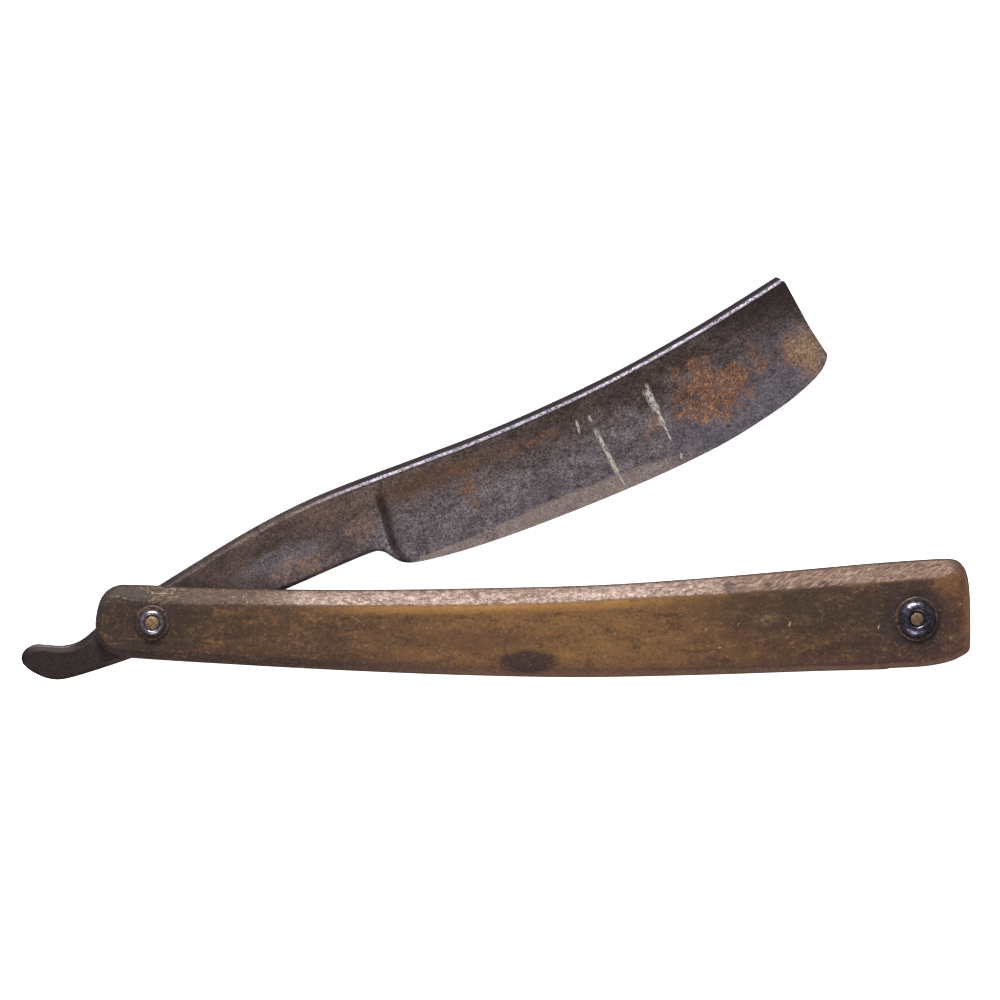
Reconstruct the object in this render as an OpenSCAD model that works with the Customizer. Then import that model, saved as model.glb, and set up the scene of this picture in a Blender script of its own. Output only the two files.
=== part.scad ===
// Straight razor with a folding blade: two horn scales, a wedge between their far ends, and a forged
// blade that turns on a peened pin. Each pin is capped on both sides by a base washer and a domed collar.
// Frame: the pivot pin stands on the Z axis, X runs along the scales to the wedge, Y points from the
// edge to the spine, and Z = 0 is the plane on which the rear collars rest.

/* [Scales] */
// Distance between the pivot pin and the wedge pin
pin_spacing = 126; // [120:1:132]
// Height of the wedge pin above the pivot pin, towards the spine
wedge_pin_rise = 0.6; // [0:0.1:1]
// Thickness of each scale along its middle
scale_t = 2.5; // [2.3:0.1:2.8]
// Height of a scale's side wall, below the bevels
wall_t = 1.1; // [0.9:0.1:1.4]
// Width of the bevel along the top of a scale
top_bevel = 2.6; // [2:0.1:2.8]
// Width of the bevel along the bottom of a scale
bottom_bevel = 1.4; // [1:0.1:1.8]
// How far each scale bows outwards at mid length
bow = 0.5; // [0.5:0.05:0.65]
// Thickness of the wedge between the scales' far ends
wedge_t = 4.2; // [4.1:0.1:4.4]

/* [Blade] */
// How far the blade stands open, counted from shut between the scales
open_deg = 21; // [0:1:300]
// Thickness of the spine at the heel
heel_t = 4.9; // [4.6:0.1:4.9]
// Thickness of the spine at the toe
toe_t = 4.5; // [4.2:0.1:4.6]
// Thickness of the tang where the pin goes through
tang_t = 3.6; // [3.5:0.1:3.7]
// Thickness of the tail near its tip
tail_t = 2.4; // [2:0.1:2.8]
// Depth of the hollow ground into each face
hollow = 0.35; // [0:0.05:0.5]
// Widest part of the honed bevel along the edge
edge_bevel = 3; // [1:0.1:3.4]

/* [Pins and washers] */
// Diameter of the brass rod that both pins are cut from
pin_d = 1.6; // [1.5:0.1:1.7]
// Diameter of a pin's peened head
head_d = 2.3; // [2.1:0.1:2.4]
// Diameter of the thrust washers beside the tang
thrust_d = 6.4; // [5.6:0.2:7]
// Diameter of the base washers at the pivot
pivot_base_d = 5.8; // [5.4:0.1:6.2]
// Diameter of the domed collars at the pivot
pivot_collar_d = 4.4; // [4.2:0.1:4.8]
// Diameter of the base washers at the wedge
wedge_base_d = 7.4; // [6.8:0.1:7.6]
// Diameter of the domed collars at the wedge
wedge_collar_d = 6.2; // [5.8:0.1:6.4]

/* [Hidden] */
$fn = 64;

thrust_t = 0.3;
base_t = 0.35;
pivot_collar_h = 1;
rod_play = 0.02;     // radial play of a pin in the pieces it clamps
side_play = 0.02;    // play between the tang and each thrust washer
turning_play = 0.05; // radial play of the pivot pin in the tang
edge_t = 0.1;       // flat left along the cutting edge

// Heights above the blade's middle plane
pivot_gap = tang_t / 2 + side_play + thrust_t;
wedge_gap = wedge_t / 2;
mid_z = pivot_gap + scale_t + base_t + pivot_collar_h;
wedge_collar_h = mid_z - wedge_gap - scale_t - base_t;

pivot_at = [0, 0];
wedge_at = [pin_spacing, wedge_pin_rise];

// The outlines are drawn for pins 126 mm apart and stretch with them
stretch = pin_spacing / 126;

// Ends of the scales, with the length of the rounding at each corner
scale_start = -9.5;
scale_end = 135;
start_round = 4.3;
end_round = 3;
toe_corner_round = 0.9;
scale_top_edge = [[-10, 6.5], [-5, 6.25], [8, 5.75], [24, 5.35], [40, 5.35], [57, 5.65], [74, 6.15],
                  [90, 7.2], [107, 8.65], [120, 9.8], [128, 10.4], [136, 10.6]];
scale_bottom_edge = [[-10, -5.5], [-4, -5.9], [15, -7.05], [33, -8], [51, -8.7], [70, -9.05], [90, -8.7],
                     [110, -8.05], [121, -7.75], [127, -7.4], [130, -6.9], [133, -5.85], [136, -4.5]];

// Blade seen from the side, shut: spine, and underside from the tail past the heel to the edge
tail_tip = -22.6;
heel = 41;
toe_top = 116.8;
toe_end = 120;
toe_end_h = 0.8;
spine_edge = [[-22.6, 2.2], [-22.2, 2.9], [-21.2, 3.5], [-19.6, 3.6], [-18, 2.95], [-16, 2], [-14, 1.5],
              [-12, 1.6], [-9, 2.6], [-4, 3.95], [3, 5.4], [10, 6.75], [17, 8.05], [24, 9.1], [31, 9.75],
              [38, 9.95], [50, 9.85], [62, 9.8], [74, 10.3], [86, 11.3], [98, 12.95], [108, 14.75],
              [116, 16.35], [121, 17.3]];
under_edge = [[-22.6, 1.2], [-22.2, 0.3], [-21.4, -0.8], [-20, -2.2], [-18, -3.3], [-15, -3.8], [-10, -4.1],
              [-4, -4.3], [3, -4.3], [10, -3.7], [18, -3], [26, -2.6], [34, -2.25], [38, -2.2], [39, -2.4],
              [40, -3.1], [41, -4.5], [42, -5.5], [44, -6.3], [50, -7.15], [58, -7.65], [68, -7.8],
              [80, -7.6], [90, -7.1], [100, -6.05], [110, -3.95], [115, -2.3], [118, -0.85], [120, 1.05]];
edge_bevel_share = [[42, 0], [46, 0.3], [52, 0.5], [60, 0.8], [70, 0.97], [78, 1], [86, 0.85], [94, 0],
                    [120, 0]];

function mix(a, b, t) = a + (b - a) * t;
function clamp01(t) = max(0, min(1, t));
function smooth(t) = let(u = clamp01(t)) u * u * (3 - 2 * u);

// Height at x of a smooth curve through the points p, whose x values rise
function slope_at(p, i) =
    let(a = p[max(i - 1, 0)], b = p[min(i + 1, len(p) - 1)]) (b.y - a.y) / (b.x - a.x);
function span_of(p, x, i = 0) = i >= len(p) - 2 || x < p[i + 1].x ? i : span_of(p, x, i + 1);
function curve(p, x) =
    let(i = span_of(p, x), a = p[i], b = p[i + 1], w = b.x - a.x, t = clamp01((x - a.x) / w))
    a.y * (1 + 2 * t) * (1 - t) * (1 - t) + slope_at(p, i) * w * t * (1 - t) * (1 - t)
        + b.y * t * t * (3 - 2 * t) + slope_at(p, i + 1) * w * t * t * (t - 1);

// Share of full height at a distance d from a rounded end, from 0 at the end to 1 past the rounding
function rounding(d, length, power) = pow(1 - pow(1 - clamp01(d / length), power), 1 / power);

// Half of the gap between the scales, level beside both pins and bowed between them
bow_start = 4;
bow_end = 118;
function half_gap(x) =
    let(t = smooth((x - bow_start) / (bow_end - bow_start)))
    mix(pivot_gap, wedge_gap, t) + bow * pow(sin(180 * t), 2);

function scale_end_share(x, last_round, last_power) =
    rounding(x - scale_start, start_round, 2) * rounding(scale_end - x, last_round, last_power);
function scale_top(x) = curve(scale_top_edge, x) * scale_end_share(x, end_round, 3);
function scale_bottom(x) = curve(scale_bottom_edge, x) * scale_end_share(x, toe_corner_round, 2);

// One scale's section at x, standing on the gap: inner face, side walls, bevels and flat outer face
function scale_section(x) =
    let(top = scale_top(x), bottom = scale_bottom(x), z = half_gap(x), end = min(x - scale_start, scale_end - x),
        share = min(1, 0.35 + end / 1.2), rise = (scale_t - wall_t) * share,
        up = min(top_bevel, (top - bottom) * 0.4), down = min(bottom_bevel, (top - bottom) * 0.3))
    [[x * stretch, bottom, z], [x * stretch, top, z], [x * stretch, top, z + wall_t],
     [x * stretch, top - up, z + wall_t + rise], [x * stretch, bottom + down, z + wall_t + rise],
     [x * stretch, bottom, z + wall_t]];

// Half the thickness of the spine: it swells from the tail to the tang, is level where the washers bear
// on it, swells again to the heel, and thins slowly to the toe
tang_level_from = -5;
tang_level_to = 5;
function spine_half(x) =
    x < 0 ? mix(tail_t, tang_t, smooth((x - tail_tip) / (tang_level_from - tail_tip))) / 2 :
    x < heel ? mix(tang_t, heel_t, pow(clamp01((x - tang_level_to) / (heel - tang_level_to)), 1.3)) / 2
             : mix(heel_t, toe_t, (x - heel) / (toe_end - heel)) / 2;
function tang_half(x, y) =
    let(down = clamp01((curve(spine_edge, x) - y) / 12), taper = 0.3 * smooth((x - 6) / 30))
    spine_half(x) * (1 - taper * down);
// Half thickness of the ground blade: a straight wedge, hollowed between the spine and the honed bevel
function ground_half(x, y) =
    let(spine = curve(spine_edge, x), edge = curve(under_edge, min(x, toe_end)), width = spine - edge,
        down = clamp01((spine - y) / width), bevel = edge_bevel * curve(edge_bevel_share, x) / width,
        t = clamp01(down / (1 - bevel)))
    max(edge_t / 2, spine_half(x) * (1 - down) - hollow * sin(180 * t));
// The spine is rounded over its last millimetre or so
function crown(x, y) =
    let(d = (curve(spine_edge, x) - y) / 1.2) d >= 1 ? 1 : mix(0.25, 1, sqrt(max(0, 1 - (1 - d) * (1 - d))));
function blade_half(x, y) =
    mix(tang_half(x, y), ground_half(x, y), smooth((x - heel - 0.2) / 1.6)) * crown(x, y);

// Top of the blade at x, which follows the sloping toe past the end of the spine
function blade_top(x) =
    x < toe_top ? curve(spine_edge, x)
                : mix(curve(spine_edge, toe_top), curve(under_edge, toe_end) + toe_end_h,
                      (x - toe_top) / (toe_end - toe_top));

// Heights at which a section of the blade is measured, as shares of its height from the underside
blade_levels = [0, 0.06, 0.17, 0.32, 0.5, 0.68, 0.84, 0.93, 0.97, 1];
function blade_section(x) =
    let(bottom = curve(under_edge, x), top = blade_top(x),
        side = [for (v = blade_levels) let(y = mix(bottom, top, v)) [x * stretch, y, blade_half(x, y)]])
    concat(side, [for (i = [len(side) - 1 : -1 : 0]) [side[i].x, side[i].y, -side[i].z]]);

// Solid through a row of sections with the same even number of points each. Every end is closed by a
// ladder of small faces between the points going up one side of the section and those coming down the other.
module loft(sections) {
    n = len(sections[0]);
    last = len(sections) - 1;
    sides = [for (i = [0 : last - 1], j = [0 : n - 1]) let(k = (j + 1) % n)
             each [[i * n + j, (i + 1) * n + j, (i + 1) * n + k], [i * n + j, (i + 1) * n + k, i * n + k]]];
    start = [for (j = [0 : n / 2 - 2]) [j, j + 1, n - 2 - j, n - 1 - j]];
    end = [for (f = start) [for (j = [3 : -1 : 0]) last * n + f[j]]];
    polyhedron(points = [for (s = sections) each s], faces = concat(start, sides, end), convexity = 6);
}

// Draws a piece of the front side as it stands, or mirrors it to the rear of the blade's middle plane
module on_side(side) translate([0, 0, mid_z]) mirror([0, 0, side == "front" ? 0 : 1]) children();

module rod_hole(d, height) translate([0, 0, -1]) cylinder(d = d, h = height + 2);

scale_stations = concat([for (d = [0.03, 0.15, 0.4, 0.8, 1.4, 2.2, 3.2, 4.3]) scale_start + d],
                        [for (x = [-3 : 3 : 129]) x],
                        [for (d = [4, 3, 2.2, 1.6, 1.1, 0.7, 0.4, 0.15, 0.03]) scale_end - d]);

module scale_plate(side) {
    color("saddlebrown") on_side(side) difference() {
        loft([for (x = scale_stations) scale_section(x)]);
        for (at = [pivot_at, wedge_at]) translate(at) rod_hole(pin_d + 2 * rod_play, mid_z);
    }
}

// Spacer between the far ends of the scales, hollowed towards the toe of the shut blade
module wedge() {
    inset = 0.5;
    hollow_x = 122;
    hollow_r = 19;
    rim = concat([for (x = [bow_end : 1 : 134]) [x * stretch, scale_top(x) - inset]],
                 [for (x = [134 : -1 : bow_end]) [x * stretch, scale_bottom(x) + inset]]);
    color("tan") translate([0, 0, mid_z - wedge_gap]) difference() {
        linear_extrude(wedge_t) polygon(rim);
        translate([hollow_x * stretch - hollow_r, 1, -1]) cylinder(r = hollow_r, h = wedge_t + 2, $fn = 128);
        translate(wedge_at) rod_hole(pin_d + 2 * rod_play, wedge_t);
    }
}

blade_stations = concat([for (d = [0, 0.15, 0.4, 0.9, 1.5, 2.3, 3.3, 4.4, 5.6, 7, 8.6, 10.4, 12.6]) tail_tip + d],
                        [for (x = [-8 : 3 : 34]) x],
                        [36, 37.4, 38.4, 39.2, 40, 40.6, 41.2, 41.8, 42.4, 43, 44, 45.4, 47, 49],
                        [for (x = [52 : 3 : 115]) x],
                        [for (x = [toe_top - 0.8 : 0.4 : toe_end - 0.05]) x], [toe_end]);

module blade() {
    color("dimgray") translate([0, 0, mid_z]) rotate([0, 0, open_deg]) difference() {
        loft([for (x = blade_stations) blade_section(x)]);
        translate([0, 0, -mid_z]) cylinder(d = pin_d + 2 * turning_play, h = 2 * mid_z);
    }
}

module washer(d, t, hole_d) difference() {
    cylinder(d = d, h = t);
    rod_hole(hole_d, t);
}

module thrust_washer(side)
    color("goldenrod") on_side(side) translate([0, 0, pivot_gap - thrust_t])
        washer(thrust_d, thrust_t, pin_d + 2 * rod_play);

module base_washer(side, at, gap, d)
    color("darkslategray") on_side(side) translate([at.x, at.y, gap + scale_t])
        washer(d, base_t, pin_d + 2 * rod_play);

// Domed collar: a rim, a curved shoulder up to a level crest, and a dish in which the pin is peened
dish_share = 0.5;
module collar(side, at, gap, d, h) {
    r = d / 2;
    rim_h = 0.2;
    dish_r = head_d / 2 + 0.05;
    crest_in = dish_r + 0.2;
    crest_out = mix(crest_in, r, 0.3);
    shoulder = [for (a = [0 : 15 : 90]) [crest_out + (r - crest_out) * cos(a), rim_h + (h - rim_h) * sin(a)]];
    color("slategray") on_side(side) translate([at.x, at.y, gap + scale_t + base_t]) rotate_extrude()
        polygon(concat([[pin_d / 2 + rod_play, 0], [r, 0]], shoulder,
                       [[crest_in, h], [dish_r, h * dish_share], [pin_d / 2 + rod_play, h * dish_share]]));
}

// Rod peened over into a low head in each collar's dish
module pin(at, collar_h) {
    dish_z = mid_z - collar_h * (1 - dish_share);
    head_h = collar_h * (1 - dish_share) * 0.7;
    color("peru") translate([at.x, at.y, mid_z]) rotate_extrude()
        polygon([[0, -dish_z - head_h], [head_d * 0.32, -dish_z - head_h], [head_d / 2, -dish_z - head_h * 0.4],
                 [head_d / 2, -dish_z], [pin_d / 2, -dish_z], [pin_d / 2, dish_z], [head_d / 2, dish_z],
                 [head_d / 2, dish_z + head_h * 0.4], [head_d * 0.32, dish_z + head_h], [0, dish_z + head_h]]);
}

scale_plate("front");  // front_scale
scale_plate("rear");  // rear_scale
wedge();
blade();
pin(pivot_at, pivot_collar_h);  // pivot_pin
pin(wedge_at, wedge_collar_h);  // wedge_pin
for (side = ["front", "rear"]) {
    thrust_washer(side);
    base_washer(side, pivot_at, pivot_gap, pivot_base_d);
    collar(side, pivot_at, pivot_gap, pivot_collar_d, pivot_collar_h);
    base_washer(side, wedge_at, wedge_gap, wedge_base_d);
    collar(side, wedge_at, wedge_gap, wedge_collar_d, wedge_collar_h);
}
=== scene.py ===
import math

import bmesh
import bpy
from mathutils import Matrix, Vector, kdtree
from mathutils.noise import noise as rough


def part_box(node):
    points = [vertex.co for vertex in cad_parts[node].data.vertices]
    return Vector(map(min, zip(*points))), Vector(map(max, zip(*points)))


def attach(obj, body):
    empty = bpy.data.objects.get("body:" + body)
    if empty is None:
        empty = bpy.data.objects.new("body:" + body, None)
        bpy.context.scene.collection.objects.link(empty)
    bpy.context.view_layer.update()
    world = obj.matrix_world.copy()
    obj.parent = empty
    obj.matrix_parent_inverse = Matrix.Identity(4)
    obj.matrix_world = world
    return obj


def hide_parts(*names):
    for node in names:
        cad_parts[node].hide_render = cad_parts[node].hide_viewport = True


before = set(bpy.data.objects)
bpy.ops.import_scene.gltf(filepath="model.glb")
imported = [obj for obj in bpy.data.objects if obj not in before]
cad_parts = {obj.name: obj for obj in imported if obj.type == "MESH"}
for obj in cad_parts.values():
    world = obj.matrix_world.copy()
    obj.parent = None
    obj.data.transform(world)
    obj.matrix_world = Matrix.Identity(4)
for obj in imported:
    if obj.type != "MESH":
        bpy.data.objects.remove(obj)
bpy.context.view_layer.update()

MM = 0.001

# The razor lies on its rear collars. The pivot pin stands at x = 0, y = 0 and the blade's middle plane is
# halfway up it. Lengths below are in millimetres.
MIDDLE = (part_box("blade")[0].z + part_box("blade")[1].z) / 2 / MM
PIVOT = (0.0, 0.0)
WEDGE_PIN = tuple(sum(c[i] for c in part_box("wedge_pin")) / 2 / MM for i in (0, 1))
OPEN = math.radians(21)
SCALE_THICK = 2.5
# Steps between two points of a smooth path, and how close vertices are merged
PATH_STEPS, MERGE = 24, 1e-4


def mix(a, b, t):
    return a + (b - a) * t


def clamp(t, low=0.0, high=1.0):
    return max(low, min(high, t))


def smooth(t):
    t = clamp(t)
    return t * t * (3 - 2 * t)


def curve(points, x):
    """Height at x of a smooth curve through points whose x values rise."""
    i = 0
    while i < len(points) - 2 and x >= points[i + 1][0]:
        i += 1

    def slope(k):
        a, b = points[max(k - 1, 0)], points[min(k + 1, len(points) - 1)]
        return (b[1] - a[1]) / (b[0] - a[0])

    (ax, ay), (bx, by) = points[i], points[i + 1]
    w = bx - ax
    t = clamp((x - ax) / w)
    return (ay * (1 + 2 * t) * (1 - t) ** 2 + slope(i) * w * t * (1 - t) ** 2
            + by * t * t * (3 - 2 * t) + slope(i + 1) * w * t * t * (t - 1))


def evenly(points, shares):
    """Points at the given shares of the length of a smooth path through the points."""
    path = []
    points = [Vector(p) for p in points]
    last = len(points) - 1
    for i in range(last):
        p = [points[clamp(k, 0, last)] for k in (i - 1, i, i + 1, i + 2)]
        span = (p[2] - p[1]).length
        leave, arrive = (p[2] - p[0]).normalized() * span, (p[3] - p[1]).normalized() * span
        for t in (k / PATH_STEPS for k in range(PATH_STEPS)):
            path.append(p[1] * (2 * t ** 3 - 3 * t ** 2 + 1) + leave * (t ** 3 - 2 * t ** 2 + t)
                        + p[2] * (3 * t ** 2 - 2 * t ** 3) + arrive * (t ** 3 - t ** 2))
    path.append(points[last])
    reach = [0.0]
    for a, b in zip(path, path[1:]):
        reach.append(reach[-1] + (b - a).length)
    found, i = [], 0
    for share in shares:
        want = reach[-1] * share
        while i < len(path) - 2 and reach[i + 1] < want:
            i += 1
        found.append(path[i].lerp(path[i + 1], clamp((want - reach[i]) / (reach[i + 1] - reach[i]))))
    return found


def finish_piece(bm, name, material, body, slot, *nodes, crease):
    """Turns a bmesh in millimetres into a finished piece that rides on a body and stands for CAD nodes.

    Edges sharper than crease, in degrees, are left sharp.
    """
    bmesh.ops.scale(bm, vec=(MM, MM, MM), verts=bm.verts)
    bmesh.ops.recalc_face_normals(bm, faces=bm.faces)
    if bm.calc_volume(signed=True) < 0:
        bmesh.ops.reverse_faces(bm, faces=bm.faces)
    for face in bm.faces:
        face.smooth = True
    for edge in bm.edges:
        edge.smooth = not (len(edge.link_faces) == 2 and edge.calc_face_angle(0) > math.radians(crease))
    mesh = bpy.data.meshes.new(name)
    bm.to_mesh(mesh)
    bm.free()
    mesh.materials.append(material)
    piece = bpy.data.objects.new(name, mesh)
    bpy.context.collection.objects.link(piece)
    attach(piece, body)
    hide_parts(*nodes)


# ---------------------------------------------------------------------------------------------------------
# Material building


class Value:
    """A number that varies over a surface. Arithmetic on it adds Math nodes."""

    def __init__(self, finish, socket):
        self.finish, self.socket = finish, socket

    def math(self, operation, *values):
        return self.finish.node("Math", {"operation": operation}, dict(enumerate(values)))

    def __add__(self, other):
        return self.math("ADD", self, other)

    def __radd__(self, other):
        return self.math("ADD", other, self)

    def __sub__(self, other):
        return self.math("SUBTRACT", self, other)

    def __rsub__(self, other):
        return self.math("SUBTRACT", other, self)

    def __mul__(self, other):
        return self.math("MULTIPLY", self, other)

    def __rmul__(self, other):
        return self.math("MULTIPLY", other, self)

    def __truediv__(self, other):
        return self.math("DIVIDE", self, other)

    def __pow__(self, other):
        return self.math("POWER", self, other)

    def size(self):
        return self.math("ABSOLUTE", self)

    def root(self):
        return self.math("SQRT", self)


class Finish:
    """A material being built up from nodes, with coordinates in millimetres turned to suit the piece."""

    def __init__(self, name, centre=(0, 0, 0), turn=0.0):
        self.material = bpy.data.materials.new(name)
        self.material.use_nodes = True
        self.tree = self.material.node_tree
        self.tree.nodes.clear()
        self.at = self.node("Mapping", {"vector_type": "TEXTURE"},
                            {"Vector": self.node("TexCoord", output="Object"),
                             "Location": tuple(c * MM for c in centre), "Rotation": (0, 0, turn),
                             "Scale": (MM, MM, MM)})
        self.x = self.node("SeparateXYZ", {}, {0: self.at}, "X")
        self.y = self.node("SeparateXYZ", {}, {0: self.at}, "Y")
        self.z = self.node("SeparateXYZ", {}, {0: self.at}, "Z")
        self.colour = None

    def node(self, kind, settings=None, inputs=None, output=0):
        """Adds a node and gives one of its outputs. settings are its own properties."""
        node = self.tree.nodes.new("ShaderNode" + kind)
        for key, setting in (settings or {}).items():
            if key == "stops":
                stops = node.color_ramp.elements
                while len(stops) < len(setting):
                    stops.new(0.5)
                for stop, (place, colour) in zip(stops, setting):
                    stop.position, stop.color = place, (*colour, 1)
            else:
                setattr(node, key, setting)
        for key, value in (inputs or {}).items():
            if isinstance(value, Value):
                self.tree.links.new(value.socket, node.inputs[key])
            else:
                node.inputs[key].default_value = value
        return None if output is None else Value(self, node.outputs[output])

    def attribute(self, name):
        """A measure stored on the mesh."""
        return self.node("Attribute", {"attribute_name": name}, output="Fac")

    def ramp(self, value, low, high):
        """0 at low and 1 at high, easing in and out. low may be above high."""
        return self.node("MapRange", {"interpolation_type": "SMOOTHSTEP"},
                         {"Value": value, "From Min": low, "From Max": high})

    def band(self, value, low, high, soft):
        """1 between low and high, fading over soft at both ends."""
        return (self.ramp(value, low - soft / 2, low + soft / 2)
                * self.ramp(value, high + soft / 2, high - soft / 2))

    def stretched(self, stretch):
        return self.node("VectorMath", {"operation": "MULTIPLY"}, {0: self.at, 1: stretch})

    def combed(self, angle, length):
        """Coordinates for strands at an angle to X, length times as long as they are wide."""
        return self.node("Mapping", {"vector_type": "TEXTURE"},
                         {"Vector": self.at, "Rotation": (0, 0, math.radians(angle)),
                          "Scale": (length, 1, 1)})

    def noise(self, size, detail, roughness, stretch=(1, 1, 1), wobble=0.0, where=None):
        """Noise with features about size mm across, from 0 to 1 about 0.5."""
        return self.node("TexNoise", {}, {"Vector": where or self.stretched(stretch), "Scale": 1 / size,
                                          "Detail": detail, "Roughness": roughness, "Distortion": wobble})

    def blot(self, x, y, rx, ry, soft, ragged, grain):
        """An oval mark about (x, y). ragged is how far its edge strays and grain the size of the strays."""
        far = (((self.x - x) / rx) ** 2 + ((self.y - y) / ry) ** 2).root()
        far = far + (self.noise(grain, 4, 0.6) - 0.5) * (2 * ragged)
        return self.ramp(far, 1 + soft, 1 - soft)

    def scratch(self, x1, y1, x2, y2, width):
        """A straight mark from (x1, y1) to (x2, y2), width to each side and fading at its ends."""
        length = math.hypot(x2 - x1, y2 - y1)
        dx, dy = (x2 - x1) / length, (y2 - y1) / length
        along = (self.x - x1) * dx + (self.y - y1) * dy
        across = (self.x - x1) * -dy + (self.y - y1) * dx
        return (self.ramp(across.size(), width, width * 0.3)
                * self.band(along, 0, length, min(1.0, length / 3)))

    def mix(self, a, b, factor):
        return self.node("Mix", {"data_type": "RGBA", "clamp_factor": True},
                         {0: factor, 6: a if isinstance(a, Value) else (*a, 1),
                          7: b if isinstance(b, Value) else (*b, 1)}, 2)

    def paint(self, colour, amount):
        """Lays a colour over what is there so far."""
        self.colour = self.mix(self.colour, colour, amount)

    def colours(self, value, *stops):
        """The colour for a value, from stops of (value, colour)."""
        return self.node("ValToRGB", {"stops": stops}, {"Fac": value})

    def bump(self, height, strength):
        """Height is in millimetres."""
        return self.node("Bump", {}, {"Strength": strength, "Distance": MM, "Height": height})

    def done(self, colour, **inputs):
        """Ends the material. Socket names are written with _ for each space."""
        inputs = {name.replace("_", " "): value for name, value in inputs.items()}
        shader = self.node("BsdfPrincipled", {}, {"Base Color": colour, **inputs})
        self.node("OutputMaterial", {}, {"Surface": shader}, None)
        return self.material


# ---------------------------------------------------------------------------------------------------------
# Camera, floor and lights


def area_light(name, at, towards, width, height, power):
    lamp = bpy.data.lights.new(name, "AREA")
    lamp.shape = "RECTANGLE"
    lamp.size, lamp.size_y = width * MM, height * MM
    lamp.energy = power
    holder = bpy.data.objects.new(name, lamp)
    holder.location = Vector(at) * MM
    holder.rotation_euler = (Vector(towards) - Vector(at)).to_track_quat("-Z", "Y").to_euler()
    bpy.context.collection.objects.link(holder)


def studio():
    scene = bpy.context.scene
    scene.view_settings.view_transform = "Standard"

    # Straight down, from far enough for the picture to be this wide at a level just above the blade
    lens, sensor, shown, middle, above = 250, 36, 165, (57.3, 20.2), 3
    camera = bpy.data.cameras.new("camera")
    camera.lens, camera.sensor_width = lens, sensor
    holder = bpy.data.objects.new("camera", camera)
    holder.location = Vector((*middle, shown * lens / sensor + MIDDLE + above)) * MM
    bpy.context.collection.objects.link(holder)
    camera.clip_start, camera.clip_end = 0.01, 20
    scene.camera = holder

    world = bpy.data.worlds.new("studio")
    world.use_nodes = True
    background = world.node_tree.nodes["Background"]
    background.inputs["Color"].default_value = (0.96, 0.97, 1.0, 1)
    background.inputs["Strength"].default_value = 0.2
    scene.world = world

    half_width, drop = 3, 0.02 * MM
    bm = bmesh.new()
    bmesh.ops.create_grid(bm, x_segments=1, y_segments=1, size=half_width)
    mesh = bpy.data.meshes.new("floor")
    bm.to_mesh(mesh)
    bm.free()
    paper = Finish("white_paper")
    mesh.materials.append(paper.done((0.93, 0.93, 0.93, 1), Roughness=0.9,
                                     Emission_Color=(1, 1, 1, 1), Emission_Strength=1.2))
    floor = bpy.data.objects.new("floor", mesh)
    floor.location.z = -drop
    floor.visible_glossy = False
    bpy.context.collection.objects.link(floor)

    # The large soft light stands on the spine's side, where the scales' upper bevels mirror it
    area_light("key", (0, 380, 262), (40, 10, 9), 250, 80, 2.8)
    area_light("fill", (40, -420, 420), (57, 10, 9), 300, 200, 0.9)


# ---------------------------------------------------------------------------------------------------------
# Scales

# Half the gap between the scales at the pins, how far they bow out between them, and where
PIVOT_GAP, WEDGE_GAP, BOW, BOW_START, BOW_END = 2.12, 2.1, 0.5, 4, 118
# The side wall's height, the bevel's rise above it and the share of its width that is softened, the rubbed
# rim's depth and width, and the heights of the long and the short waves that hand work leaves
SIDE_WALL, BEVEL_RISE, BEVEL_SOFT = 1.1, 1.4, 0.22
RUB_DEPTH, RUB_WIDTH, LONG_WAVE, SHORT_WAVE = 0.35, 0.55, 0.035, 0.012
# Vertices inset by less than ON_RIM are on the rim. The inner face is given DEEP, to count as far from it.
ON_RIM, DEEP = 0.05, 9
# The four sides of the outline as points, which meet at the corners, and the bevel's width along them
TOP_SIDE = [(-8.2, 4.55), (-7.85, 4.98), (-7.3, 5.45), (-6.5, 5.9), (-5.3, 6.2), (8, 5.75), (24, 5.35),
            (40, 5.35), (57, 5.65), (74, 6.15), (90, 7.2), (107, 8.65), (120, 9.8), (128, 10.35),
            (131.5, 10.5), (132.6, 10.3), (133.25, 9.87), (133.6, 9.5)]
END_SIDE = [(134.7, -4.7), (134.9, -4), (134.93, 0), (134.87, 4), (134.6, 7), (134.2, 8.5), (133.9, 9.1),
            (133.6, 9.5)]
BOTTOM_SIDE = [(-8.3, -4.2), (-7.95, -4.52), (-7.2, -5), (-6, -5.45), (-4, -5.85), (15, -7.05), (33, -8),
               (51, -8.7), (70, -9.05), (90, -8.7), (110, -8.05), (121, -7.75), (121.5, -7.6), (127, -7.3),
               (130, -6.85), (132, -6.3), (133, -5.85), (134.3, -5.1), (134.7, -4.7)]
START_SIDE = [(-8.3, -4.2), (-8.6, -3.8), (-9.05, -3), (-9.4, -1.8), (-9.48, 0), (-9.3, 1.5), (-8.95, 3),
              (-8.55, 4), (-8.2, 4.55)]
TOP_BEVEL = [(-9, 2), (0, 2.9), (20, 2.5), (40, 2.45), (60, 2.7), (80, 2.4), (100, 2.9), (115, 3.15),
             (125, 3.2), (134, 3)]
BOTTOM_BEVEL = [(-9, 1), (0, 1.5), (20, 1.7), (60, 1.3), (100, 1), (134, 1)]
END_BEVEL, START_BEVEL = 1.1, 0.9


def half_gap(x):
    """Half the gap between the scales at x."""
    t = smooth((x - BOW_START) / (BOW_END - BOW_START))
    return mix(PIVOT_GAP, WEDGE_GAP, t) + BOW * math.sin(math.pi * t) ** 2


def crowded(i, count, amount):
    """Share of the way at step i of count, with shorter steps near both ends."""
    t = i / count
    return t - amount * math.sin(2 * math.pi * t) / (2 * math.pi)


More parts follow.
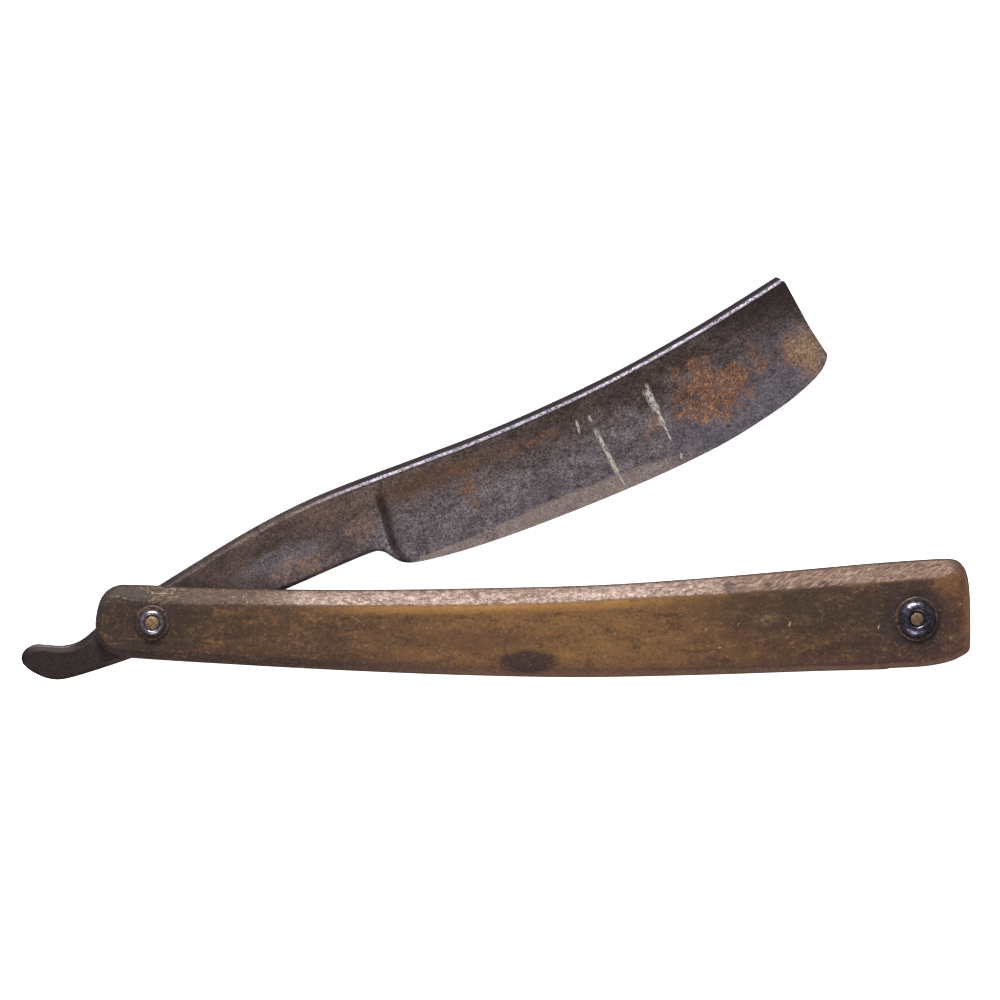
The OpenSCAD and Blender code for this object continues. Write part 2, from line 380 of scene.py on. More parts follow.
def scale(name, material, front):
    """One horn plate: a grid fitted to the outline makes its outer face, and is extruded to the inner one."""
    columns, rows, rim_steps, reach = 360, 48, 700, 20
    across = [crowded(j, rows, 0.5) for j in range(rows + 1)]
    along = [crowded(i, columns, 0.6) for i in range(columns + 1)]
    top, bottom = evenly(TOP_SIDE, along), evenly(BOTTOM_SIDE, along)
    end, start = evenly(END_SIDE, across), evenly(START_SIDE, across)

    # The rim, with the width of the bevel beside each of its points
    share = [k / rim_steps for k in range(rim_steps)]
    short = share[::8]
    rim = [(p, curve(TOP_BEVEL, p.x)) for p in evenly(TOP_SIDE, share)]
    rim += [(p, END_BEVEL) for p in reversed(evenly(END_SIDE, short))]
    rim += [(p, curve(BOTTOM_BEVEL, p.x)) for p in reversed(evenly(BOTTOM_SIDE, share))]
    rim += [(p, START_BEVEL) for p in evenly(START_SIDE, short)]
    widths = [sum(rim[(k + n) % len(rim)][1] for n in range(-reach, reach + 1)) / (2 * reach + 1)
              for k in range(len(rim))]
    tree = kdtree.KDTree(len(rim))
    for k, (p, _) in enumerate(rim):
        tree.insert((*p, 0), k)
    tree.balance()

    def inset_at(p):
        """Distance from p to the rim, and the bevel's width there."""
        k = tree.find((*p, 0))[1]
        near = []
        for a, b in ((k - 1, k), (k, (k + 1) % len(rim))):
            line = rim[b][0] - rim[a][0]
            t = clamp((p - rim[a][0]).dot(line) / max(line.length_squared, 1e-9))
            near.append((p - rim[a][0] - line * t).length)
        return min(near), widths[k]

    bm = bmesh.new()
    inset_layer = bm.verts.layers.float.new("inset")
    bevel_layer = bm.verts.layers.float.new("bevel")
    across_layer = bm.verts.layers.float.new("across")
    bmesh.ops.create_grid(bm, x_segments=columns, y_segments=rows, size=1)
    for vert in bm.verts:
        i, j = round((vert.co.x + 1) / 2 * columns), round((vert.co.y + 1) / 2 * rows)
        u, v = along[i], across[j]
        p = (bottom[i] * (1 - v) + top[i] * v + start[j] * (1 - u) + end[j] * u
             - (bottom[0] * (1 - u) + bottom[-1] * u) * (1 - v) - (top[0] * (1 - u) + top[-1] * u) * v)
        inset, width = inset_at(p)
        vert[inset_layer], vert[bevel_layer], vert[across_layer] = inset, inset / width, v
        # A straight bevel with a softened top and a rubbed rim, worked by hand and so a little uneven
        t = inset / width
        rise = min(t, 1) - max(BEVEL_SOFT - abs(t - 1), 0) ** 2 / (4 * BEVEL_SOFT)
        rubbed = RUB_DEPTH * (1 - clamp(inset / RUB_WIDTH)) ** 2
        uneven = (rough((p.x * 0.12, p.y * 0.3, 3 + front)) * LONG_WAVE
                  + rough((p.x * 0.5, p.y * 0.8, 8 + front)) * SHORT_WAVE) * clamp(t)
        vert.co = (*p, half_gap(p.x) + SIDE_WALL + BEVEL_RISE * rise - rubbed + uneven)
    inner = bmesh.ops.extrude_face_region(bm, geom=bm.faces[:])
    for vert in inner["geom"]:
        if isinstance(vert, bmesh.types.BMVert):
            vert.co.z = half_gap(vert.co.x)
            if vert[inset_layer] > ON_RIM:
                vert[inset_layer], vert[bevel_layer], vert[across_layer] = DEEP, DEEP, 0.5
    place(bm, front)
    side = "front" if front else "rear"
    finish_piece(bm, name, material, "handle", "horn", side + "_scale", crease=50)


def place(bm, front, at=(0, 0)):
    """Moves a piece drawn about its own axis and the blade's middle plane to its place, front or rear."""
    bmesh.ops.scale(bm, vec=(1, 1, 1 if front else -1), verts=bm.verts)
    bmesh.ops.translate(bm, vec=(*at, MIDDLE), verts=bm.verts)


# ---------------------------------------------------------------------------------------------------------
# Blade, drawn shut and then turned open

# Where the blade's parts begin and end along X
TAIL_TIP, TANG, HEEL, LEAN_START, TOE_TOP, TOE_END = -22.6, -5, 41, 90, 116.5, 120.35
# The upper and lower outlines, and the height of the honed strip, or of the rounding where there is none
SPINE = [(-22.6, 2.2), (-22.2, 2.9), (-21.2, 3.5), (-19.6, 3.6), (-18, 2.95), (-16, 2), (-14, 1.5),
         (-12, 1.6), (-9, 2.6), (-4, 3.95), (3, 5.4), (10, 6.75), (17, 8.05), (24, 9.1), (31, 9.75),
         (38, 9.95), (50, 9.85), (62, 9.8), (74, 10.3), (86, 11.3), (98, 12.95), (108, 14.75), (116, 16.35),
         (121, 17.3)]
UNDER = [(-22.6, 1.2), (-22.2, 0.3), (-21.4, -0.8), (-20, -2.2), (-18, -3.3), (-15, -3.8), (-10, -4.1),
         (-4, -4.3), (3, -4.3), (10, -3.7), (18, -3), (26, -2.6), (34, -2.25), (38, -2.2), (39, -2.4),
         (40, -3.1), (41, -4.5), (42, -5.5), (44, -6.3), (50, -7.15), (58, -7.65), (68, -7.8), (80, -7.6),
         (90, -7.1), (100, -6.05), (110, -3.95), (115, -2.3), (118, -0.85), (119.4, 0.4), (120.35, 1.5)]
HONED = [(-22.6, 0.35), (-18, 0.8), (38, 0.8), (43, 0.6), (45, 0.8), (50, 1.35), (55, 1.8), (60, 2.3),
         (65, 2.65), (70, 2.9), (78, 2.9), (85, 2.55), (90, 1.9), (94, 1.1), (98, 0.6), (120, 0.5)]
# Where the grind begins, as x for each y, and the share of the thickness at each depth under the spine
SHOULDER = [(-8, 42.6), (-5.5, 41.9), (-3, 41.1), (0, 41.2), (5, 41.6), (12, 42.2)]
CROWN = [(0, 0.3), (0.4, 0.62), (0.85, 0.87), (1.35, 0.99), (1.6, 1)]
# How far the crown reaches down, the hollow of each face, half the edge's thickness, the radius of the toe's
# corner, and how far along the grind runs out
CROWN_DEPTH, HOLLOW, EDGE, CORNER, GRIND_RUN = 1.6, 0.3, 0.05, 0.7, 1.5
# The spine's thickness at the tang, the tail, the heel and the toe
TANG_T, TAIL_T, HEEL_T, TOE_T = 3.6, 2.4, 4.9, 4.5
# The shank swells from SWELL_START to the heel. Its lower side thins by SHANK_TAPER, which comes in over
# SHANK_RUN from SHANK_START and is full at SHANK_DEPTH below the spine. Its lower edge is rounded over FOOT,
# to FOOT_LEAST of its thickness. WEAR is how uneven the faces are.
SWELL_START, SHANK_START, SHANK_RUN, SHANK_TAPER, SHANK_DEPTH = 5, 6, 30, 0.3, 12
FOOT, FOOT_LEAST, WEAR = 0.8, 0.2, 0.02


def spine_half(x):
    """Half the spine's thickness at x."""
    if x < 0:
        return mix(TAIL_T, TANG_T, smooth((x - TAIL_TIP) / (TANG - TAIL_TIP))) / 2
    if x < HEEL:
        return mix(TANG_T, HEEL_T, clamp((x - SWELL_START) / (HEEL - SWELL_START)) ** 1.3) / 2
    return mix(HEEL_T, TOE_T, (x - HEEL) / (TOE_END - HEEL)) / 2


def blade_half(x, y, top, low):
    """Half the blade's thickness at x, y, where the blade reaches from low to top."""
    down = top - y
    crown = min(1, curve(CROWN, min(down, CROWN_DEPTH)))
    taper = SHANK_TAPER * smooth((x - SHANK_START) / SHANK_RUN) * clamp(down / SHANK_DEPTH)
    rounding = math.sqrt(1 - (1 - clamp((y - low) / FOOT)) ** 2)
    tang = spine_half(x) * (1 - taper) * mix(FOOT_LEAST, 1, rounding)
    width = top - low
    honed = curve(HONED, x)
    t = clamp(down / (width - honed))
    ground = max(EDGE, spine_half(x) * (1 - down / width) - HOLLOW * math.sin(math.pi * t))
    return mix(tang, ground, smooth((x - curve(SHOULDER, y)) / GRIND_RUN)) * crown


def blade(material):
    """The blade: a grid wrapped from edge to edge over the spine, and closed at the toe and the tail."""
    # Each stretch's end, and the number of columns in it
    zones = [(TAIL_TIP, 0), (-18, 20), (TANG, 20), (38, 70), (46, 40), (114, 130), (TOE_END, 24)]
    stations = [TAIL_TIP]
    for (a, _), (b, count) in zip(zones, zones[1:]):
        stations += [mix(a, b, (k + 1) / count) for k in range(count)]
    crown_rows, face_rows, edge_rows = 14, 26, 8
    side = crown_rows + face_rows + edge_rows

    bm = bmesh.new()
    down_layer = bm.verts.layers.float.new("down")
    honed_layer = bm.verts.layers.float.new("honed")
    inland_layer = bm.verts.layers.float.new("inland")
    bmesh.ops.create_grid(bm, x_segments=len(stations) - 1, y_segments=2 * side, size=1)
    for vert in bm.verts:
        i = round((vert.co.x + 1) / 2 * (len(stations) - 1))
        j = round((vert.co.y + 1) / 2 * 2 * side) - side
        row = abs(j)
        x = stations[i]
        # The toe leans back towards the spine, and the last stretch of the blade leans with it
        lean = (TOE_END - TOE_TOP) * clamp((x - LEAN_START) / (TOE_END - LEAN_START)) ** 2
        share = row / side
        x -= lean * (1 - share)
        low, top = curve(UNDER, x), curve(SPINE, x)
        # On the narrow tail, both keep to a share of the width
        honed = min(curve(HONED, x), (top - low) * 0.4)
        crown = min(CROWN_DEPTH, (top - low) * 0.3)
        if row <= crown_rows:
            down = crown * (row / crown_rows) ** 1.2
        elif row <= crown_rows + face_rows:
            down = mix(crown, top - low - honed, (row - crown_rows) / face_rows)
        else:
            t = (row - crown_rows - face_rows) / edge_rows
            down = top - low - honed * (1 - math.sin(math.pi / 2 * t) if x < HEEL else 1 - t)
        y = top - down
        half = blade_half(x, y, top, low) if 0 < row < side else 0
        vert[down_layer], vert[honed_layer] = down, (y - low) / honed
        vert[inland_layer] = x - curve(SHOULDER, y)
        # The toe's lower corner is rounded
        past = clamp(CORNER - (y - low), 0, CORNER)
        x -= (CORNER - math.sqrt(CORNER ** 2 - past ** 2)) * clamp(x - TOE_END + 1) ** 2
        worn = rough((x * 0.25, y * 0.25, 5)) * WEAR
        vert.co = (x, y, math.copysign(half, j) + (worn if 0 < row < side - edge_rows else 0))
    bmesh.ops.remove_doubles(bm, verts=bm.verts, dist=MERGE)
    bmesh.ops.edgeloop_fill(bm, edges=[edge for edge in bm.edges if edge.is_boundary])
    bmesh.ops.rotate(bm, cent=(0, 0, 0), matrix=Matrix.Rotation(OPEN, 3, "Z"), verts=bm.verts)
    bmesh.ops.translate(bm, vec=(0, 0, MIDDLE), verts=bm.verts)
    finish_piece(bm, "blade_steel_body", material, "blade", "blade_steel", "blade", crease=35)


# ---------------------------------------------------------------------------------------------------------
# Collars, base washers and pins

# Radii of the pins' rods and heads, the clearance about a rod, and the base washers' thickness
ROD, HEAD, CLEARANCE, BASE_T = 0.8, 1.15, 0.02, 0.35
# Steps round a turned piece and along its section, and how deep the hammer's marks are
TURN_STEPS, COLLAR_STEPS, BASE_STEPS, HEAD_STEPS, HAMMER = 96, 72, 60, 24, 0.03
# The pin heads' flats: how many, and the share of the radius that they take off
FLATS, FLAT_DEPTH = 6, 0.055
# Sections of the collars, as (radius, height)
PIVOT_DOME = [(0.82, 0), (2.15, 0), (2.2, 0.1), (2.15, 0.45), (2, 0.75), (1.8, 0.93), (1.6, 1), (1.42, 0.94),
              (1.28, 0.74), (1.2, 0.5), (0.82, 0.5), (0.82, 0)]
WEDGE_DOME = [(0.82, 0), (3.05, 0), (3.1, 0.12), (2.95, 0.42), (2.6, 0.72), (2.15, 0.93), (1.7, 1.02),
              (1.42, 0.95), (1.28, 0.74), (1.2, 0.51), (0.82, 0.51), (0.82, 0)]


def even_steps(profile, count):
    return evenly(profile, [k / count for k in range(count + 1)])


def turned(points):
    """A bmesh spun about the Z axis from (radius, height) points."""
    bm = bmesh.new()
    verts = [bm.verts.new((p.x, 0, p.y)) for p in points]
    edges = [bm.edges.new(pair) for pair in zip(verts, verts[1:])]
    bmesh.ops.spin(bm, geom=verts + edges, cent=(0, 0, 0), axis=(0, 0, 1), angle=2 * math.pi,
                   steps=TURN_STEPS, use_merge=True)
    bmesh.ops.remove_doubles(bm, verts=bm.verts, dist=MERGE)
    return bm


def hammered(bm, seed, size):
    """Uneven surface from the hammer, in the plane and in height, with marks about size across."""
    for vert in bm.verts:
        p = vert.co / size
        vert.co += Vector(rough((p.x, p.y, p.z + seed + k)) for k in (0, 20, 40)) * HAMMER


def collar(name, material, front, at, gap, profile, node, seed):
    """A domed collar. gap is half the gap between the scales there."""
    bm = turned(even_steps(profile, COLLAR_STEPS))
    hammered(bm, seed, 0.9)
    height = max(p[1] for p in profile)
    top = max(v.co.z for v in bm.verts)
    for vert in bm.verts:
        vert.co.z = max(vert.co.z, 0) * height / top
    place_on(bm, front, at, gap + SCALE_THICK + BASE_T)
    finish_piece(bm, name, material, "handle", "collar_metal", node, crease=70)


def base_washer(name, material, front, at, gap, r, node, seed):
    """A flat washer of radius r that lies under a collar."""
    bore = ROD + CLEARANCE
    profile = [(bore, 0), (r - 0.03, 0), (r, 0.08), (r - 0.05, 0.24), (r - 0.25, 0.33),
               (r - 0.5, BASE_T), (bore, BASE_T), (bore, 0)]
    bm = turned(even_steps(profile, BASE_STEPS))
    hammered(bm, seed, 1.2)
    for vert in bm.verts:
        vert.co.z = clamp(vert.co.z, 0, BASE_T)
    place_on(bm, front, at, gap + SCALE_THICK)
    finish_piece(bm, name, material, "handle", "collar_metal", node, crease=70)


def place_on(bm, front, at, height):
    """Places a piece at a height above the blade's middle plane, or as far below it at the rear."""
    bmesh.ops.translate(bm, vec=(0, 0, height), verts=bm.verts)
    place(bm, front, at)


def pin(name, material, at, dish, head, node, seed):
    """A rod peened over at both ends, with heads that rise by head above the collars' dishes."""
    half = [(0, dish + head), (HEAD * 0.55, dish + head * 0.95), (HEAD * 0.85, dish + head * 0.6),
            (HEAD, dish + head * 0.2), (HEAD - 0.05, dish), (ROD, dish)]
    top = even_steps(half, HEAD_STEPS)
    bm = turned([*top, *[Vector((p.x, -p.y)) for p in reversed(top)]])
    for vert in bm.verts:
        r = math.hypot(vert.co.x, vert.co.y)
        if abs(vert.co.z) > dish - 0.01 and r > 0.3:
            a = math.atan2(vert.co.y, vert.co.x)
            flat = 1 - FLAT_DEPTH * abs(math.sin(FLATS / 2 * a + seed)) ** 1.5
            vert.co.x *= flat
            vert.co.y *= flat
            vert.co.z += math.copysign(min(0, rough((vert.co.x, vert.co.y, seed))) * 0.05, vert.co.z)
    bmesh.ops.translate(bm, vec=(*at, MIDDLE), verts=bm.verts)
    finish_piece(bm, name, material, "handle", "pin_brass", node, crease=60)


# ---------------------------------------------------------------------------------------------------------
# Finishes


def rgb(red, green, blue):
    """Linear colour from the 0 to 255 values of a paint chart."""
    return tuple(((c / 255 + 0.055) / 1.055) ** 2.4 for c in (red, green, blue))


# Stains on the front scale, each as a blot, its colour and its strength
STAINS = [((106, 2, 13, 4, 0.6, 0.4, 4), rgb(52, 41, 28), 0.5),
          ((54, -3, 9, 2, 0.6, 0.5, 3), rgb(78, 49, 34), 0.55),
          ((0, 0.4, 6.5, 4.4, 0.5, 0.3, 3), rgb(42, 28, 22), 0.6),
          ((126, 0.3, 5.4, 5.4, 0.35, 0.25, 2), rgb(38, 26, 28), 0.8),
          ((62, -6.4, 4.6, 1.9, 0.3, 0.25, 1.5), rgb(42, 25, 24), 0.85),
          ((131, 6.4, 1.8, 1.5, 0.9, 0.9, 1.2), rgb(150, 102, 46), 0.4)]
# Pits in its upper bevel, as x, y and radius
BEVEL_PITS = [(95.2, 5.9, 1.1), (101.5, 6.2, 0.6), (110.6, 6.4, 0.8)]
# Pale flecks, as x, y, angle and length
FLECKS = [(104.9, -0.6, 70, 0.8), (119.6, -1, 75, 0.6), (104.4, -2.4, 10, 0.4), (91, -1, -30, 0.4),
          (93.3, -4.2, 20, 0.4), (96.4, -0.5, 60, 0.5)]
# Fine scratches, from x1, y1 to x2, y2
HORN_SCRATCHES = [(8, -0.9, 9.6, 0.9), (9.4, -0.2, 10.2, 0.4), (11.6, -0.8, 12.4, 0.6), (47, -5, 50, -1),
                  (38.6, -4, 38.9, -1), (33, 1, 35.4, -0.8), (66, 3, 72, 4.6), (84, 0.4, 88.6, 1.8),
                  (99.8, 0, 101.2, 0.9), (101, 0.3, 102.4, 1.5), (100.2, 1, 101, 1.4),
                  (57, 1.6, 58.4, -2), (74, -2.4, 77, -1.6), (23, -3.4, 24.6, -1.6)]
FLECK_WIDTH, SCRATCH_WIDTH = 0.16, 0.11


def horn(name, front):
    """Worn horn: layered browns, an upper bevel worn to a polish with a painted highlight, and fibres and
    specks over all of it.
    """
    f = Finish(name, centre=(0, 0, MIDDLE))
    inset, bevel, across = (f.attribute(a) for a in ("inset", "bevel", "across"))
    upper = f.ramp(across, 0.45, 0.62) * f.band(f.x, -7, 132.5, 3)
    on_bevel = f.ramp(bevel, 1.12, 0.92)
    cloud = f.noise(8, 5, 0.6, stretch=(0.5, 1, 1), wobble=0.5)
    # Where the upper bevel is worn to a polish, which is also where its painted highlight is laid
    polish_and_highlight = on_bevel * upper * f.band(f.x + cloud * 8, 26, 99, 16)
    patch = f.noise(2.2, 6, 0.7, stretch=(0.4, 1, 1), wobble=0.6)
    grain = f.noise(0.55, 6, 0.8)
    chips = f.noise(0.6, 5, 0.75, stretch=(0.6, 1, 1), wobble=0.4)
    speck = f.noise(0.22, 3, 0.75)
    fine = speck * 0.6 + grain * 0.4
    fibres = [f.ramp(f.noise(size, 2, 0.55, where=f.combed(turn, length)), 0.66, 0.74)
              for turn, size, length in ((28, 0.24, 7), (-40, 0.26, 6), (80, 0.24, 8), (5, 0.22, 6))]
    folds = (f.noise(3, 3, 0.55, stretch=(0.3, 1, 1), wobble=0.6) - 0.5).size()
    curls = (f.noise(2.6, 2, 0.45, stretch=(0.45, 1, 1), wobble=1) - 0.5).size()
    wrinkles = (f.ramp(folds, 0.022, 0.004) * f.ramp(chips, 0.42, 0.56)
                + f.ramp(curls, 0.026, 0.006) * f.band(f.x, -3, 22, 6) * f.ramp(grain, 0.38, 0.54))
    wrinkles = wrinkles * on_bevel * upper * f.ramp(inset, 0.1, 0.5)

    # The body of the horn, golden under the upper bevel, partly a painted glow, and reddish along the lower
    # edge
    f.colour = f.colours(f.x / 140 + (cloud - 0.5) * 0.15,
                         (0, rgb(58, 41, 30)), (0.1, rgb(76, 51, 31)), (0.2, rgb(82, 56, 36)),
                         (0.4, rgb(122, 84, 47)), (0.55, rgb(120, 84, 47)), (0.68, rgb(97, 65, 39)),
                         (0.78, rgb(74, 49, 32)), (0.88, rgb(62, 40, 32)), (0.95, rgb(82, 52, 36)))
    tone = patch * 0.5 + grain * 0.5
    f.paint(rgb(46, 29, 21), f.ramp(tone, 0.51, 0.38) * 0.75)
    f.paint(rgb(158, 112, 64), f.ramp(tone, 0.5, 0.64) * 0.45)
    # A golden band under the upper bevel: partly the horn's own colour, partly a painted glow of light
    # showing through it
    gold_glow = f.band(inset + patch, 3, 4.2, 1.6) * upper * f.band(f.x, 34, 84, 30)
    f.paint(rgb(192, 140, 70), gold_glow * (cloud * 1.2 + grain * 0.6 - 0.35))
    low = f.ramp(inset, 3.2, 0.6) * f.ramp(across, 0.4, 0.2)
    f.paint(rgb(74, 46, 40), low * (0.4 + patch * 0.5))
    f.paint(rgb(156, 104, 74), low * f.ramp(patch * 0.4 + grain * 0.6, 0.55, 0.63) * 0.7)

    # Bevels and rim
    far_end = f.ramp(f.x, 84, 102)
    rim = on_bevel * upper * (1 - polish_and_highlight) * f.ramp(f.x, -4, 9)
    f.paint(f.mix(rgb(104, 78, 66), rgb(142, 110, 93), far_end), rim * (chips * 2.8 - 1 + far_end * 0.2))
    # The middle of the upper bevel is painted pale: partly worn horn, partly a painted highlight of the key
    # light
    worn = f.colours(chips * 0.7 + speck * 0.3, (0.4, rgb(98, 74, 66)), (0.5, rgb(164, 134, 120)),
                     (0.6, rgb(232, 206, 194)))
    f.paint(worn, polish_and_highlight * 0.85)
    f.paint(rgb(60, 42, 36), f.ramp(bevel, 0.6, 0.15) * on_bevel * upper * 0.35)
    # The bevels at the left end are painted darker: painted shade where the key light's reflection should
    # fade
    f.paint(rgb(46, 34, 34), on_bevel * f.ramp(f.x, 7, -2) * 0.55)
    lower_rim = on_bevel * f.ramp(across, 0.4, 0.2) * f.ramp(f.x, 24, 56)
    f.paint(rgb(128, 88, 66), lower_rim * (grain * 2.4 + chips - 1.1))
    f.paint(rgb(150, 102, 56), f.ramp(f.x, 133.2, 134.4) * f.ramp(across, 0.1, 0.3) * 0.6)
    f.paint(rgb(40, 26, 22), f.ramp(inset, 0.32, 0.03) * 0.8)

    if front:
        for blot, stain, strength in STAINS:
            f.paint(stain, f.blot(*blot) * strength)
        scuff = f.blot(101, 0.6, 2, 0.9, 0.7, 1, 0.7) * f.ramp(grain, 0.42, 0.56)
        f.paint(rgb(134, 106, 78), scuff * 0.5)
        for x, y, r in BEVEL_PITS:
            f.paint(rgb(72, 52, 46), f.blot(x, y, r, r * 0.8, 0.2, 0.15, 0.5))
        for x, y, turn, length in FLECKS:
            end = x + length * math.cos(math.radians(turn)), y + length * math.sin(math.radians(turn))
            f.paint(rgb(190, 168, 142), f.scratch(x, y, *end, FLECK_WIDTH) * f.ramp(grain, 0.4, 0.54) * 0.9)
        for ends in HORN_SCRATCHES:
            f.paint(rgb(190, 160, 128), f.scratch(*ends, SCRATCH_WIDTH) * f.ramp(grain, 0.46, 0.58) * 0.35)

    # Fibres, specks, wrinkles, and short strokes across the far end of the bevel
    light = rgb(190, 154, 120)
    for fibre in fibres:
        f.paint(light, fibre * (patch * 0.9 - 0.22) + fibre * on_bevel * 0.25)
    f.paint(light, f.ramp(fine, 0.58, 0.66) * 0.55)
    f.paint(rgb(30, 19, 15), f.ramp(fine, 0.44, 0.37) * 0.5)
    f.paint(rgb(184, 154, 134), wrinkles * 0.5)
    hatching = f.noise(0.36, 3, 0.6, where=f.combed(38, 9)) * on_bevel * upper * f.ramp(inset, 0.1, 0.4)
    f.paint(rgb(190, 156, 132), f.ramp(hatching, 0.5, 0.62) * f.ramp(f.x, 88, 102) * (cloud * 1.4 - 0.1))

    height = (grain * 0.05 + speck * 0.03 + patch * 0.1 + chips * on_bevel * 0.14 + fibres[0] * 0.015
              + fibres[1] * 0.015 + wrinkles * 0.1 + hatching * 0.07)
    return f.done(f.colour, Roughness=0.44 + grain * 0.25 - polish_and_highlight * 0.2, Normal=f.bump(height, 0.9),
                  Specular_IOR_Level=0.42)


def plain_horn(name):
    """Horn with no marks of use, for the wedge."""
    f = Finish(name, centre=(0, 0, MIDDLE))
    streaks = f.noise(2.6, 6, 0.62, stretch=(0.15, 1, 1), wobble=0.6)
    grain = f.noise(0.5, 6, 0.75)
    colour = f.colours(streaks * 0.7 + grain * 0.3, (0.38, rgb(46, 34, 28)), (0.6, rgb(88, 66, 48)))
    return f.done(colour, Roughness=0.5 + grain * 0.2, Normal=f.bump(grain * 0.05, 0.5))


# Rust on the shut blade, as x, y, half sizes and strength
RUST = [(99, 2.4, 6.8, 4.6, 1.2), (107.5, 4.6, 4.6, 2.2, 0.6), (56, 1, 1.8, 2.2, 0.8),
        (57, 5.6, 2.4, 0.9, 0.6), (26.5, -0.3, 4.6, 2.2, 0.9), (37.5, 2, 3, 2.2, 1), (33, 6, 4, 2, 0.5),
        (70, 5.4, 5, 1.2, 0.5), (88, 0, 1.5, 1.5, 0.5), (114.4, 3.6, 1.6, 3, 0.7)]
# Light scratches on its front face, from x1, y1 to x2, y2, with their widths
BLADE_SCRATCHES = [(80.9, -6.8, 80.4, -4, 0.22), (80.5, -4.5, 79.6, 3.5, 0.5), (90.7, -2.5, 90.5, 0, 0.18),
                   (90.5, 0, 90.1, 7.4, 0.42), (90.2, 3, 89.7, 6.5, 0.85), (77, 4, 77.2, 6, 0.3),
                   (79.5, 5, 79.4, 6, 0.3), (91.2, -6, 91.5, -5.2, 0.25)]


